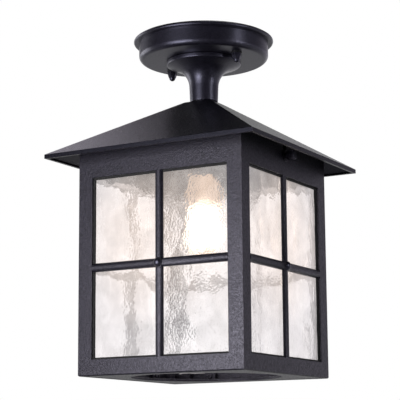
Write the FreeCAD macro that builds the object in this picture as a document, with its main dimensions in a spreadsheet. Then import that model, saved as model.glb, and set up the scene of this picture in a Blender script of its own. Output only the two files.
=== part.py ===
import FreeCAD, Part
import math
import os
from types import SimpleNamespace

import Sketcher
from FreeCAD import Placement, Rotation, Vector

# Ceiling porch lantern, in millimetres with +Z up. The front face looks along -Y.
# The origin is the centre of the ceiling plane, and the lantern hangs below it.

SIZES = {
    # Fits that several pieces share
    "thread_clearance": 0.05,
    "pass_clearance": 0.25,
    "slide_clearance": 0.2,
    "seat_clearance": 0.1,
    # Ceiling rose and its gasket
    "rose_rim_radius": 67,
    "rose_rim_height": 3.4,
    "rose_radius": 62,
    "rose_depth": 21.2,
    "rose_wall": 1.6,
    "rose_edge_radius": 5,
    "gasket_thickness": 0.8,
    "gasket_width": 4,
    # Strap on the ceiling, its studs and the finial nuts that hold the rose up
    "strap_turn": -17,
    "strap_length": 106,
    "strap_width": 20,
    "strap_thickness": 2,
    "fixing_circle": 70,
    "fixing_hole_radius": 2.75,
    "cable_hole_radius": 6,
    "stud_offset": 45,
    "stud_radius": 2.5,
    "stud_reach": 6,
    "small_nut_width": 8,
    "small_nut_height": 4,
    "finial_washer_radius": 4.9,
    "finial_washer_thickness": 0.8,
    "finial_grip_height": 3,
    "finial_taper_height": 3.6,
    "finial_tip_width": 6,
    "finial_bore_depth": 6.4,
    # Terminal block, earth screw and internal wires
    "block_offset": 15,
    "block_length": 14,
    "block_width": 26,
    "block_height": 10,
    "pole_pitch": 8,
    "pole_radius": 1.5,
    "pole_depth": 5,
    "pole_screw_radius": 1.8,
    "pole_screw_length": 2.6,
    "pole_screw_inset": 3.5,
    "fixing_screw_radius": 1.5,
    "earth_screw_offset": 22,
    "earth_screw_side": 5,
    "earth_screw_radius": 2,
    "earth_head_radius": 4,
    "earth_head_height": 4,
    "wire_radius": 1,
    "wire_spread": 1.25,
    "wire_bend_radius": 6,
    "earth_bend_radius": 5,
    "earth_ramp": 6,
    # Stem and the hollow nipple through it
    "stem_height": 40.7,
    "stem_flange_radius": 35.4,
    "stem_flange_height": 4.1,
    "stem_shoulder_radius": 25.4,
    "stem_shoulder_drop": 7.9,
    "stem_flare_radius": 20,
    "stem_neck_radius": 13.9,
    "stem_neck_height": 15,
    "stem_foot_radius": 13.3,
    "stem_foot_thickness": 4,
    "stem_cavity_radius": 9.5,
    "seal_thickness": 0.8,
    "seal_radius": 12.4,
    "nipple_radius": 5,
    "nipple_bore_radius": 3.8,
    "nipple_end": 1.2,
    "large_nut_width": 14,
    "large_nut_height": 3,
    "large_washer_radius": 9.5,
    "large_washer_thickness": 1.2,
    # Roof casting
    "eave_width": 216.6,
    "fascia_height": 3.8,
    "fascia_wall": 2.6,
    "roof_rise": 57.3,
    "roof_top_width": 27.4,
    "roof_top_thickness": 4,
    "roof_skin": 3.5,
    "seat_drop": 1.713,
    "rib_drop": 6,
    "rib_thickness": 2.6,
    "lug_thickness": 8,
    "lug_width": 16,
    "lug_drop": 7.4,
    # Thumbscrews that clamp the lantern to the roof
    "thumb_rise": 0.6,
    "thumb_radius": 2.5,
    "thumb_slot_clearance": 0.4,
    "thumb_reach": 10,
    "thumb_head_radius": 4.4,
    "thumb_head_length": 7,
    "thumb_neck_radius": 3.2,
    "thumb_neck_length": 2.2,
    "thumb_dome": 1,
    "thumb_flute_radius": 0.55,
    "thumb_washer_radius": 5.4,
    "thumb_washer_thickness": 1.2,
    # Lampholder
    "holder_gap": 2,
    "holder_radius": 19.5,
    "holder_wall": 2,
    "holder_cap_height": 20,
    "holder_cap_edge": 5,
    "holder_collar_radius": 9,
    "holder_thread_depth": 10,
    "holder_skirt_length": 42,
    "holder_mouth_radius": 15.2,
    "insert_thickness": 12,
    "insert_overlap": 4,
    "ledge_thickness": 2,
    "shell_radius": 14.2,
    "shell_wall": 0.6,
    "shell_length": 27,
    "contact_radius": 4,
    "contact_height": 4,
    # Lamp
    "lamp_cap_radius": 13.2,
    "lamp_cap_wall": 0.5,
    "lamp_cap_length": 22,
    "lamp_eyelet_radius": 4.5,
    "lamp_eyelet_height": 1.8,
    "lamp_insulator_radius": 9.6,
    "lamp_insulator_height": 3,
    "bulb_radius": 18.5,
    "bulb_drop": 62.5,
    "bulb_wall": 1,
    "bulb_neck_radius": 12.6,
    "bulb_neck_length": 4,
    # Side panels and their glazing bars
    "lantern_width": 170,
    "panel_height": 212,
    "panel_thickness": 3,
    "panel_edge_radius": 1.5,
    "window_width": 141,
    "window_bottom": 14.7,
    "top_rail_height": 30.6,
    "bar_height": 98,
    "bar_width": 8,
    "bar_nose": 4,
    "crossing_radius": 2.9,
    "crossing_proud": 1.4,
    "crossing_round": 1,
    # Glass, its clips, corner cleats and small screws
    "glass_thickness": 3,
    "glass_overlap": 5,
    "clip_offset": 40,
    "clip_width": 12,
    "clip_lap": 3.4,
    "clip_thickness": 1,
    "boss_radius": 3,
    "boss_gap": 0.6,
    "screw_radius": 1.45,
    "screw_head_radius": 2.8,
    "screw_head_height": 1.8,
    "screw_bite": 1.8,
    "cleat_leg": 14,
    "cleat_thickness": 2,
    "cleat_height": 15,
    "cleat_screw_inset": 4,
    "cleat_drop": 7.5,
    # Base plate
    "base_thickness": 2.5,
    "base_recess": 0.3,
    "base_opening_radius": 70,
    "base_lug_offset": 66,
    "base_lug_width": 9,
    "base_lug_depth": 7,
    "base_screw_length": 8,
}

QUARTER_TURN = 90
SIDES = {"front": 0, "right": 1, "rear": 2, "left": 3}
CORNERS = {"front_right": 0, "rear_right": 1, "rear_left": 2, "front_left": 3}
FLUTES = 18
HEXAGON = 6
FULL_TURN = 360
TOLERANCE = 0.01

doc = FreeCAD.newDocument("PorchLantern")
sheet = doc.addObject("Spreadsheet::Sheet", "Sizes")
for row, (alias, number) in enumerate(SIZES.items(), start=1):
    sheet.set(f"A{row}", alias)
    sheet.set(f"B{row}", str(number))
    sheet.setAlias(f"B{row}", alias)
doc.recompute()


class Dim:
    """A length, as its number and as the expression that ties a feature to the sheet."""

    def __init__(self, value, text):
        self.value = value
        self.text = text

    def __add__(self, other):
        other = as_dim(other)
        return Dim(self.value + other.value, f"({self.text} + {other.text})")

    def __sub__(self, other):
        other = as_dim(other)
        return Dim(self.value - other.value, f"({self.text} - {other.text})")

    def __mul__(self, other):
        other = as_dim(other)
        return Dim(self.value * other.value, f"({self.text} * {other.text})")

    def __truediv__(self, other):
        other = as_dim(other)
        return Dim(self.value / other.value, f"({self.text} / {other.text})")

    def __neg__(self):
        return Dim(-self.value, f"(-1 * {self.text})")


def as_dim(number):
    """Any number as a Dim."""
    if isinstance(number, Dim):
        return number
    return Dim(number, f"({number:.9f})")


s = SimpleNamespace(**{alias: Dim(float(sheet.get(alias)), f"Sizes.{alias}") for alias in SIZES})


# Levels, from the ceiling down
rose_floor = -s.rose_depth
rose_inside = rose_floor + s.rose_wall
strap_under = -s.strap_thickness
nipple_nut_seat = rose_inside + s.large_washer_thickness
nipple_top = nipple_nut_seat + s.large_nut_height + s.nipple_end
finial_seat = rose_floor - s.finial_washer_thickness
stem_foot = rose_floor - s.stem_height
roof_top = stem_foot - s.seal_thickness
roof_inside = roof_top - s.roof_top_thickness
roof_nut_seat = roof_inside - s.large_washer_thickness
holder_top = roof_nut_seat - s.large_nut_height - s.holder_gap
nipple_foot = holder_top - s.holder_thread_depth
holder_joint = holder_top - s.holder_cap_height
insert_top = holder_joint + s.insert_overlap
insert_under = insert_top - s.insert_thickness
contact_tip = insert_under - s.contact_height
lamp_top = contact_tip - s.seat_clearance
insulator_top = lamp_top - s.lamp_eyelet_height
lamp_cap_top = insulator_top - s.lamp_insulator_height
lamp_cap_foot = lamp_cap_top - s.lamp_cap_length
bulb_centre = lamp_cap_foot - s.bulb_drop
fascia_top = roof_top - s.roof_rise
eave = fascia_top - s.fascia_height
outer_face = s.lantern_width / 2
eave_half = s.eave_width / 2
roof_slope = s.roof_rise / (eave_half - s.roof_top_width / 2)
roof_seat = fascia_top + (eave_half - outer_face) * roof_slope - s.roof_skin - s.seat_drop
thumb_level = eave + s.thumb_rise
panel_top = roof_seat - s.seat_clearance
lantern_foot = panel_top - s.panel_height

# Levels inside the lantern, from its foot up
base_top = s.base_recess + s.base_thickness
window_height = s.panel_height - s.window_bottom - s.top_rail_height
glass_bottom = s.window_bottom - s.glass_overlap
glass_height = window_height + s.glass_overlap * 2
glass_top = glass_bottom + glass_height
low_boss = glass_bottom - s.boss_gap - s.boss_radius
high_boss = glass_top + s.boss_gap + s.boss_radius
cleat_top = s.panel_height - s.cleat_drop
cleat_middle = cleat_top - s.cleat_height / 2

# Places across the lantern
inner_face = outer_face - s.panel_thickness
glass_back = inner_face - s.glass_thickness
cleat_back = glass_back - s.cleat_thickness
cleat_end = glass_back - s.cleat_leg
cleat_screw = cleat_end + s.cleat_screw_inset
screw_pass = s.screw_radius + s.thread_clearance
nipple_pass = s.nipple_radius + s.pass_clearance
nipple_thread = s.nipple_radius + s.thread_clearance
stud_thread = s.stud_radius + s.thread_clearance
rib_face = inner_face - s.slide_clearance


def tie(feature, name, dim):
    """Binds one property of a feature to the sheet."""
    feature.setExpression(name, dim.text)


def new_body(label, level=None, turns=0):
    """A body at its own height, turned by quarter turns about the lantern's axis."""
    body = doc.addObject("PartDesign::Body", label)
    body.Label = label
    body.Placement = Placement(Vector(), Rotation(Vector(0, 0, 1), QUARTER_TURN * turns))
    if level is not None:
        tie(body, "Placement.Base.z", level)
    return body


def turn_with_strap(feature):
    """Turns a piece to the strap's own direction on the ceiling."""
    feature.Placement = Placement(feature.Placement.Base, Rotation(Vector(0, 0, 1), s.strap_turn.value))
    tie(feature, "Placement.Rotation.Angle", s.strap_turn)
    return feature


def origin_feature(body, role):
    return next(feature for feature in body.Origin.OriginFeatures if feature.Role == role)


def new_sketch(body, role, offset=None):
    """A sketch on one of the body's origin planes, or on a plane offset from it along its normal."""
    sketch = body.newObject("Sketcher::SketchObject", f"{body.Name}_sketch")
    sketch.AttachmentSupport = [(origin_feature(body, role), "")]
    sketch.MapMode = "FlatFace"
    if offset is not None:
        tie(sketch, "AttachmentOffset.Base.z", offset)
    return sketch


def arc_between(start, end, radius):
    """An arc under a half circle. Its centre is left of the way where the radius is above 0."""
    chord = end - start
    side = Vector(-chord.y, chord.x, 0).normalize() * math.copysign(1, radius)
    rise = abs(radius) - math.sqrt(max(radius**2 - (chord.Length / 2) ** 2, 0))
    return Part.Arc(start, start + chord * 0.5 - side * rise, end)


def fix_point(sketch, geometry, position, x, y):
    """Holds a point at x, y from the sketch's origin."""
    for kind, dim, axis in (("DistanceX", x, -2), ("DistanceY", y, -1)):
        if dim.value == 0:
            sketch.addConstraint(Sketcher.Constraint("PointOnObject", geometry, position, axis))
        else:
            index = sketch.addConstraint(Sketcher.Constraint(kind, -1, 1, geometry, position, dim.value))
            tie(sketch, f"Constraints[{index}]", dim)


def draw_outline(sketch, corners):
    """A closed outline. A corner is (x, y), or (x, y, radius) where an arc leads on to the next corner."""
    corners = [tuple(as_dim(number) for number in corner) for corner in corners]
    ends = []
    for here, there in zip(corners, corners[1:] + corners[:1]):
        start = Vector(here[0].value, here[1].value, 0)
        end = Vector(there[0].value, there[1].value, 0)
        if len(here) == 2:
            index = sketch.addGeometry(Part.LineSegment(start, end), False)
        else:
            index = sketch.addGeometry(arc_between(start, end, here[2].value), False)
        first = 1 if sketch.getPoint(index, 1).isEqual(start, TOLERANCE) else 2
        ends.append((index, first, 3 - first))
    for number, here in enumerate(corners):
        index, first, last = ends[number]
        before, _, before_last = ends[number - 1]
        sketch.addConstraint(Sketcher.Constraint("Coincident", before, before_last, index, first))
        fix_point(sketch, index, first, here[0], here[1])
        if len(here) == 3:
            size = here[2] if here[2].value > 0 else -here[2]
            constraint = sketch.addConstraint(Sketcher.Constraint("Radius", index, size.value))
            tie(sketch, f"Constraints[{constraint}]", size)


def draw_rectangle(sketch, low_x, high_x, low_y, high_y):
    draw_outline(sketch, [(low_x, low_y), (high_x, low_y), (high_x, high_y), (low_x, high_y)])


def draw_circle(sketch, radius, x=0, y=0):
    x, y, radius = as_dim(x), as_dim(y), as_dim(radius)
    circle = Part.Circle(Vector(x.value, y.value, 0), Vector(0, 0, 1), radius.value)
    index = sketch.addGeometry(circle, False)
    fix_point(sketch, index, 3, x, y)
    constraint = sketch.addConstraint(Sketcher.Constraint("Radius", index, radius.value))
    tie(sketch, f"Constraints[{constraint}]", radius)


def draw_hexagon(sketch, width, x=0):
    """A hexagon measured across its flats."""
    corner = width / math.sqrt(3)
    turns = [2 * math.pi * number / HEXAGON for number in range(HEXAGON)]
    draw_outline(sketch, [(corner * math.cos(turn) + x, corner * math.sin(turn)) for turn in turns])


def extrude(body, kind, sketch, length, back=False, both=False):
    """A pad or a pocket of a sketch: along its normal, back against it, or to both sides of it."""
    feature = body.newObject(f"PartDesign::{kind}", f"{body.Name}_{kind.lower()}")
    feature.Profile = sketch
    tie(feature, "Length", length)
    feature.Reversed = back
    feature.Midplane = both
    return feature


def revolve(body, corners, axis="V_Axis"):
    """A turned piece from its half section on the XZ plane."""
    sketch = new_sketch(body, "XZ_Plane")
    draw_outline(sketch, corners)
    feature = body.newObject("PartDesign::Revolution", f"{body.Name}_turned")
    feature.Profile = sketch
    feature.ReferenceAxis = (sketch, [axis])
    feature.Angle = FULL_TURN
    return feature


def loft(body, kind, lower, upper):
    feature = body.newObject(f"PartDesign::{kind}", f"{body.Name}_loft")
    feature.Profile = lower
    feature.Sections = [upper]
    feature.Ruled = True
    return feature


def polar_pattern(body, features, count, axis="Z_Axis"):
    pattern = body.newObject("PartDesign::PolarPattern", f"{body.Name}_pattern")
    pattern.Originals = features
    pattern.Axis = (origin_feature(body, axis), [""])
    pattern.Angle = FULL_TURN
    pattern.Occurrences = count
    body.Tip = pattern
    return pattern


def ring(label, inner, outer, bottom, top):
    """A flat ring or a plain tube about the vertical axis."""
    body = new_body(label)
    revolve(body, [(inner, bottom), (outer, bottom), (outer, top), (inner, top)])
    return body


def hex_nuts(label, width, bore, bottom, height, offsets=(0,)):
    """Hexagon nuts about vertical axes that stand along the X axis."""
    body = new_body(label)
    flats = new_sketch(body, "XY_Plane", bottom)
    for offset in offsets:
        draw_hexagon(flats, width, offset)
    extrude(body, "Pad", flats, height)
    holes = new_sketch(body, "XY_Plane", bottom + height)
    for offset in offsets:
        draw_circle(holes, bore, offset)
    extrude(body, "Pocket", holes, height)
    return body


# Ceiling rose, gasket and strap


def make_rose():
    body = turn_with_strap(new_body("ceiling_rose"))
    inside = s.rose_radius - s.rose_wall
    rim_top = -s.gasket_thickness
    bead = s.rose_rim_height / 2
    bead_root = s.rose_rim_radius - bead
    edge = s.rose_edge_radius
    inner_edge = edge - s.rose_wall
    revolve(body, [
        (inside, rim_top),
        (inside, rose_floor + edge, -inner_edge),
        (inside - inner_edge, rose_inside),
        (nipple_pass, rose_inside),
        (nipple_pass, rose_floor),
        (s.rose_radius - edge, rose_floor, edge),
        (s.rose_radius, rose_floor + edge),
        (s.rose_radius, rim_top - s.rose_rim_height),
        (bead_root, rim_top - s.rose_rim_height, bead),
        (s.rose_rim_radius, rim_top - bead, bead),
        (bead_root, rim_top),
    ])
    holes = new_sketch(body, "XY_Plane", rose_inside)
    for offset in (s.stud_offset, -s.stud_offset):
        draw_circle(holes, s.stud_radius + s.pass_clearance, offset)
    extrude(body, "Pocket", holes, s.rose_wall)


def make_gasket():
    inner = s.rose_radius - s.rose_wall
    ring("rose_gasket", inner, inner + s.gasket_width, -s.gasket_thickness, as_dim(0))


def make_strap():
    body = turn_with_strap(new_body("mounting_strap"))
    bar = new_sketch(body, "XY_Plane")
    long_half, wide_half = s.strap_length / 2, s.strap_width / 2
    draw_outline(bar, [
        (wide_half - long_half, -wide_half),
        (long_half - wide_half, -wide_half, wide_half),
        (long_half, as_dim(0), wide_half),
        (long_half - wide_half, wide_half),
        (wide_half - long_half, wide_half, wide_half),
        (-long_half, as_dim(0), wide_half),
    ])
    extrude(body, "Pad", bar, s.strap_thickness, back=True)
    holes = new_sketch(body, "XY_Plane")
    draw_circle(holes, s.cable_hole_radius)
    for side in (1, -1):
        draw_circle(holes, s.fixing_hole_radius, s.fixing_circle / 2 * side)
        draw_circle(holes, stud_thread, s.stud_offset * side)
    draw_circle(holes, s.earth_screw_radius + s.thread_clearance, -s.earth_screw_offset, s.earth_screw_side)
    draw_circle(holes, s.fixing_screw_radius + s.thread_clearance, block_middle(), s.pole_pitch / 2)
    extrude(body, "Pocket", holes, s.strap_thickness)


def make_studs():
    body = turn_with_strap(new_body("strap_studs"))
    rods = new_sketch(body, "XY_Plane", finial_seat - s.stud_reach)
    for side in (1, -1):
        draw_circle(rods, s.stud_radius, s.stud_offset * side)
    extrude(body, "Pad", rods, -(finial_seat - s.stud_reach) - s.seat_clearance)
    offsets = (s.stud_offset, -s.stud_offset)
    height = s.small_nut_height
    nuts = hex_nuts("stud_locknuts", s.small_nut_width, stud_thread, strap_under - height, height, offsets)
    turn_with_strap(nuts)


def make_finial(name, side):
    """A tapered cap nut on a stud, and the sealing washer that it presses against the rose."""
    place = s.stud_offset * side
    washer = turn_with_strap(new_body(f"{name}_finial_washer"))
    face = new_sketch(washer, "XY_Plane", finial_seat)
    draw_circle(face, s.finial_washer_radius, place)
    draw_circle(face, stud_thread, place)
    extrude(washer, "Pad", face, s.finial_washer_thickness)

    nut = turn_with_strap(new_body(f"{name}_finial_nut"))
    grip_foot = finial_seat - s.finial_grip_height
    taper_foot = grip_foot - s.finial_taper_height
    grip = new_sketch(nut, "XY_Plane", finial_seat)
    draw_hexagon(grip, s.small_nut_width, place)
    extrude(nut, "Pad", grip, s.finial_grip_height, back=True)
    wide = new_sketch(nut, "XY_Plane", grip_foot)
    draw_hexagon(wide, s.small_nut_width, place)
    narrow = new_sketch(nut, "XY_Plane", taper_foot)
    draw_hexagon(narrow, s.finial_tip_width, place)
    loft(nut, "AdditiveLoft", wide, narrow)
    dome = new_sketch(nut, "XZ_Plane")
    tip = s.finial_tip_width / 2
    draw_outline(dome, [
        (place, taper_foot - tip, tip),
        (place + tip, taper_foot),
        (place, taper_foot),
    ])
    turned = nut.newObject("PartDesign::Revolution", f"{nut.Name}_dome")
    turned.Profile = dome
    turned.ReferenceAxis = (dome, ["Edge3"])
    turned.Angle = FULL_TURN
    bore = new_sketch(nut, "XY_Plane", finial_seat)
    draw_circle(bore, stud_thread, place)
    extrude(nut, "Pocket", bore, s.finial_bore_depth)


# Terminal block and wires


def block_middle():
    return s.block_offset + s.block_length / 2


def wire_level():
    return strap_under - s.block_height / 2


def make_terminal_block():
    body = turn_with_strap(new_body("terminal_block"))
    half_width = s.block_width / 2
    foot = strap_under - s.block_height
    outline = new_sketch(body, "XY_Plane", foot)
    draw_rectangle(outline, s.block_offset, s.block_offset + s.block_length, -half_width, half_width)
    extrude(body, "Pad", outline, s.block_height)
    poles = [s.pole_pitch * number for number in (-1, 0, 1)]
    rows = [s.block_offset + s.pole_screw_inset, s.block_offset + s.block_length - s.pole_screw_inset]
    for near, cut_back in ((s.block_offset, True), (s.block_offset + s.block_length, False)):
        entries = new_sketch(body, "YZ_Plane", near)
        for pole in poles:
            draw_circle(entries, s.pole_radius, pole, wire_level())
        extrude(body, "Pocket", entries, s.pole_depth, back=cut_back)
    wells = new_sketch(body, "XY_Plane", foot)
    for pole in poles:
        for place in rows:
            draw_circle(wells, s.pole_screw_radius + s.thread_clearance, place, pole)
    extrude(body, "Pocket", wells, s.pole_screw_length, back=True)
    shaft = new_sketch(body, "XY_Plane", foot)
    draw_circle(shaft, s.fixing_screw_radius + s.thread_clearance, block_middle(), s.pole_pitch / 2)
    extrude(body, "Pocket", shaft, s.block_height, back=True)

    screws = turn_with_strap(new_body("terminal_screws"))
    ends = new_sketch(screws, "XY_Plane", foot)
    for pole in poles:
        for place in rows:
            draw_circle(ends, s.pole_screw_radius, place, pole)
    extrude(screws, "Pad", ends, s.pole_screw_length)

    fixing = turn_with_strap(new_body("terminal_fixing_screw"))
    head = new_sketch(fixing, "XY_Plane", foot)
    draw_circle(head, s.pole_pitch / 2 - s.pole_screw_radius, block_middle(), s.pole_pitch / 2)
    extrude(fixing, "Pad", head, s.screw_head_height, back=True)
    shank = new_sketch(fixing, "XY_Plane", foot)
    draw_circle(shank, s.fixing_screw_radius, block_middle(), s.pole_pitch / 2)
    extrude(fixing, "Pad", shank, s.block_height + s.strap_thickness - s.seat_clearance)


def make_earth_screw():
    body = turn_with_strap(new_body("earth_screw"))
    place, side = -s.earth_screw_offset, s.earth_screw_side
    head = new_sketch(body, "XY_Plane", strap_under)
    draw_circle(head, s.earth_head_radius, place, side)
    extrude(body, "Pad", head, s.earth_head_height, back=True)
    shank = new_sketch(body, "XY_Plane", strap_under)
    draw_circle(shank, s.earth_screw_radius, place, side)
    extrude(body, "Pad", shank, s.strap_thickness - s.seat_clearance)


def rounded_path(points, radius):
    """Straight runs through the points, joined by tangent arcs."""
    edges = []
    here = points[0]
    for corner, after in zip(points[1:-1], points[2:]):
        into = (corner - here).normalize()
        out = (after - corner).normalize()
        turn = into.getAngle(out)
        setback = radius * math.tan(turn / 2)
        start = corner - into * setback
        end = corner + out * setback
        inward = (out - into).normalize()
        middle = corner + inward * (radius / math.cos(turn / 2) - radius)
        edges.append(Part.LineSegment(here, start).toShape())
        edges.append(Part.Arc(start, middle, end).toShape())
        here = end
    edges.append(Part.LineSegment(here, points[-1]).toShape())
    return Part.Wire(edges)


def make_wire(label, points, radius):
    path = rounded_path(points, radius)
    direction = (points[1] - points[0]).normalize()
    section = Part.Wire(Part.makeCircle(s.wire_radius.value, points[0], direction))
    wire = doc.addObject("Part::Feature", label)
    wire.Label = label
    wire.Shape = path.makePipeShell([section], True, False)
    wire.Placement = Placement(Vector(), Rotation(Vector(0, 0, 1), s.strap_turn.value))
    print(f"{label}: length {path.Length:.1f}, bend radius {radius:.1f}")


def make_wires():
    start = s.block_offset.value + s.pole_depth.value
    level = wire_level().value
    spread = s.wire_spread.value
    pitch = s.pole_pitch.value
    foot = insert_top.value
    for label, entry, side in (("live_wire", -pitch, -spread), ("neutral_wire", 0, spread)):
        mouth = Vector(s.block_offset.value, entry, level)
        route = [Vector(start, entry, level), mouth, Vector(0, side, level), Vector(0, side, foot)]
        make_wire(label, route, s.wire_bend_radius.value)
    head_edge = -s.earth_screw_offset.value + s.earth_head_radius.value + s.wire_radius.value / 2
    head_level = strap_under.value - s.earth_head_height.value / 2
    side = s.earth_screw_side.value
    route = [
        Vector(start, pitch, level),
        Vector(s.block_offset.value, pitch, level),
        Vector(head_edge + s.earth_ramp.value + s.earth_bend_radius.value, side, level),
        Vector(head_edge, side, head_level),
    ]
    make_wire("earth_wire", route, s.earth_bend_radius.value)


# Stem


def make_stem():
    body = new_body("stem")
    revolve(body, [
        (s.stem_cavity_radius, rose_floor),
        (s.stem_cavity_radius, stem_foot + s.stem_foot_thickness),
        (nipple_pass, stem_foot + s.stem_foot_thickness),
        (nipple_pass, stem_foot),
        (s.stem_foot_radius, stem_foot),
        (s.stem_neck_radius, stem_foot + s.stem_neck_height, -s.stem_flare_radius),
        (s.stem_shoulder_radius, rose_floor - s.stem_shoulder_drop),
        (s.stem_flange_radius, rose_floor - s.stem_flange_height),
        (s.stem_flange_radius, rose_floor),
    ])
    ring("stem_nipple", s.nipple_bore_radius, s.nipple_radius, nipple_foot, nipple_top)
    ring("nipple_top_washer", nipple_thread, s.large_washer_radius, rose_inside, nipple_nut_seat)
    hex_nuts("nipple_top_nut", s.large_nut_width, nipple_thread, nipple_nut_seat, s.large_nut_height)
    ring("roof_seal", nipple_pass, s.seal_radius, roof_top, stem_foot)
    ring("nipple_roof_washer", nipple_thread, s.large_washer_radius, roof_nut_seat, roof_inside)
    nut_foot = roof_nut_seat - s.large_nut_height
    hex_nuts("nipple_roof_nut", s.large_nut_width, nipple_thread, nut_foot, s.large_nut_height)


# Roof casting


def roof_middle(distance):
    """Height of the middle of the roof's skin at a distance from the axis."""
    return fascia_top + (eave_half - distance) * roof_slope - s.roof_skin / 2


def square(body, half, level):
    sketch = new_sketch(body, "XY_Plane", level)
    draw_rectangle(sketch, -half, half, -half, half)
    return sketch


def make_roof():
    body = new_body("roof")
    extrude(body, "Pad", square(body, eave_half, eave), s.fascia_height)
    top_half = s.roof_top_width / 2
    loft(body, "AdditiveLoft", square(body, eave_half, fascia_top), square(body, top_half, roof_top))

    hollow_half = eave_half - s.fascia_wall
    hollow_foot = fascia_top + s.fascia_wall * roof_slope - s.roof_skin
    extrude(body, "Pocket", square(body, hollow_half, eave), hollow_foot - eave, back=True)
    hollow_rise = roof_inside - hollow_foot
    hollow_top = hollow_half - hollow_rise / roof_slope
    hollow_base = square(body, hollow_half, hollow_foot)
    loft(body, "SubtractiveLoft", hollow_base, square(body, hollow_top, roof_inside))

    rib_back = rib_face - s.rib_thickness
    rib = new_sketch(body, "XZ_Plane")
    draw_outline(rib, [
        (rib_back, roof_seat - s.rib_drop),
        (rib_face, roof_seat - s.rib_drop),
        (rib_face, roof_seat),
        (outer_face, roof_seat),
        (outer_face, roof_middle(outer_face)),
        (rib_back, roof_middle(rib_back)),
    ])
    rib_pad = extrude(body, "Pad", rib, rib_face * 2, both=True)
    polar_pattern(body, [rib_pad], len(SIDES))

    lug_back = rib_face - s.lug_thickness
    lug = new_sketch(body, "XZ_Plane")
    draw_outline(lug, [
        (lug_back, eave - s.lug_drop),
        (rib_face, eave - s.lug_drop),
        (rib_face, roof_middle(rib_face)),
        (lug_back, roof_middle(lug_back)),
    ])
    lug_pad = extrude(body, "Pad", lug, s.lug_width, both=True)
    polar_pattern(body, [lug_pad], 2)
    tapping = new_sketch(body, "YZ_Plane")
    draw_circle(tapping, s.thumb_radius + s.thread_clearance, 0, thumb_level)
    extrude(body, "Pocket", tapping, rib_face * 2, both=True)
    entry = new_sketch(body, "XY_Plane", roof_top)
    draw_circle(entry, nipple_pass)
    extrude(body, "Pocket", entry, s.roof_top_thickness)


# Thumbscrews


def make_thumbscrew(name, turns):
    """A fluted screw through the panel's slot into the roof's lug, with its washer."""
    washer_foot = outer_face + s.seat_clearance
    washer_face = washer_foot + s.thumb_washer_thickness
    washer = new_body(f"{name}_thumbscrew_washer", thumb_level, turns)
    hole = s.thumb_radius + s.thread_clearance
    revolve(washer, [
        (washer_foot, hole),
        (washer_face, hole),
        (washer_face, s.thumb_washer_radius),
        (washer_foot, s.thumb_washer_radius),
    ], "H_Axis")

    screw = new_body(f"{name}_thumbscrew", thumb_level, turns)
    neck_end = washer_face + s.thumb_neck_length
    head_end = neck_end + s.thumb_head_length
    dome = s.thumb_dome
    revolve(screw, [
        (outer_face - s.panel_thickness - s.thumb_reach, as_dim(0)),
        (head_end, as_dim(0)),
        (head_end, s.thumb_head_radius - dome, dome),
        (head_end - dome, s.thumb_head_radius),
        (neck_end, s.thumb_head_radius),
        (neck_end, s.thumb_neck_radius),
        (washer_face, s.thumb_neck_radius),
        (washer_face, s.thumb_radius),
        (outer_face - s.panel_thickness - s.thumb_reach, s.thumb_radius),
    ], "H_Axis")
    flute = new_sketch(screw, "YZ_Plane", head_end)
    draw_circle(flute, s.thumb_flute_radius, 0, s.thumb_head_radius)
    cut = extrude(screw, "Pocket", flute, s.thumb_head_length)
    polar_pattern(screw, [cut], FLUTES, "X_Axis")


# Lampholder and lamp


def make_lampholder():
    radius, wall, edge = s.holder_radius, s.holder_wall, s.holder_cap_edge
    cap = new_body("lampholder_cap")
    revolve(cap, [
        (nipple_thread, holder_top),
        (nipple_thread, nipple_foot),
        (s.holder_collar_radius, nipple_foot),
        (s.holder_collar_radius, holder_top - wall),
        (radius - edge, holder_top - wall, -(edge - wall)),
        (radius - wall, holder_top - edge),
        (radius - wall, holder_joint),
        (radius, holder_joint),
        (radius, holder_top - edge, edge),
        (radius - edge, holder_top),
    ])
    skirt = new_body("lampholder_skirt")
    foot = holder_joint - s.holder_skirt_length
    revolve(skirt, [
        (radius - wall, holder_joint),
        (radius - wall, insert_under),
        (s.holder_mouth_radius, insert_under),
        (s.holder_mouth_radius, insert_under - s.ledge_thickness),
        (radius - wall, insert_under - s.ledge_thickness),
        (radius - wall, foot + wall),
        (s.holder_mouth_radius, foot + wall),
        (s.holder_mouth_radius, foot),
        (radius - wall, foot, wall),
        (radius, foot + wall),
        (radius, holder_joint),
    ])
    insert = new_body("lampholder_insert")
    disc = new_sketch(insert, "XY_Plane", insert_under)
    draw_circle(disc, radius - wall - s.seat_clearance)
    extrude(insert, "Pad", disc, s.insert_thickness)
    tube_wall = s.shell_radius - s.shell_wall
    ring("lampholder_screw_shell", tube_wall, s.shell_radius, insert_under - s.shell_length, insert_under)
    contact = new_body("lampholder_contact")
    tip = s.contact_radius / 2
    revolve(contact, [
        (as_dim(0), contact_tip),
        (tip, contact_tip),
        (s.contact_radius, insert_under),
        (as_dim(0), insert_under),
    ])


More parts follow.
